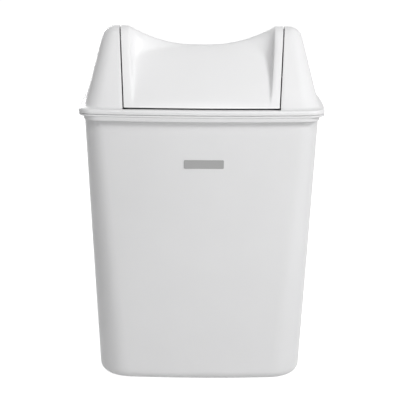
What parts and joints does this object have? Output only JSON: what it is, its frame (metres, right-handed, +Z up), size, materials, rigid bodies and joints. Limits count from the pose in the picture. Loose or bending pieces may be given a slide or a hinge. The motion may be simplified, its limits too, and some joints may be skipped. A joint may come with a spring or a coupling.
{
  "type": "sanitary bin",
  "caption": "Tall narrow white waste bin for a washroom cubicle, with a lift-off hood and a saddle-shaped flap that swings both ways.",
  "frame": {"origin": "on the floor, under the middle of the bin", "axes": "+X to the right across the front, +Y from the front to the back, +Z up; the blank plate is on the -Y face"},
  "size_m": [0.264, 0.156, 0.3875],
  "materials": {
    "bucket_plastic": "satin moulded polypropylene, white",
    "hood_plastic": "satin moulded polypropylene, white",
    "flap_plastic": "satin moulded polypropylene, white",
    "ring_plastic": "satin moulded polypropylene, off-white",
    "plate_grey": "plain satin grey, blank",
    "pin_plastic": "smooth natural acetal",
    "bush_plastic": "smooth grey nylon"
  },
  "bodies": {
    "bin": {"bin_body": "bucket_plastic", "badge_plate": "plate_grey"},
    "ring": {"bag_ring": "ring_plastic"},
    "hood": {"hood_shell": "hood_plastic", "left_pivot_bush": "bush_plastic", "right_pivot_bush": "bush_plastic"},
    "flap": {"swing_flap": "flap_plastic", "left_pivot_pin": "pin_plastic", "right_pivot_pin": "pin_plastic"}
  },
  "joints": [
    {"name": "hood_lift", "type": "slide", "parent": "bin", "child": "hood", "axis": [0, 0, 1], "range_m": [0, 0.11]},
    {"name": "flap_swing", "type": "hinge", "parent": "hood", "child": "flap", "pos_m": [0, 0, 0.3675], "axis": [1, 0, 0], "range_deg": [-50, 50]},
    {"name": "ring_lift", "type": "slide", "parent": "bin", "child": "ring", "axis": [0, 0, 1], "range_m": [0, 0.055]}
  ],
  "couplings": [
    {"joint": "ring_lift", "follows": "hood_lift", "ratio": 0.5}
  ]
}
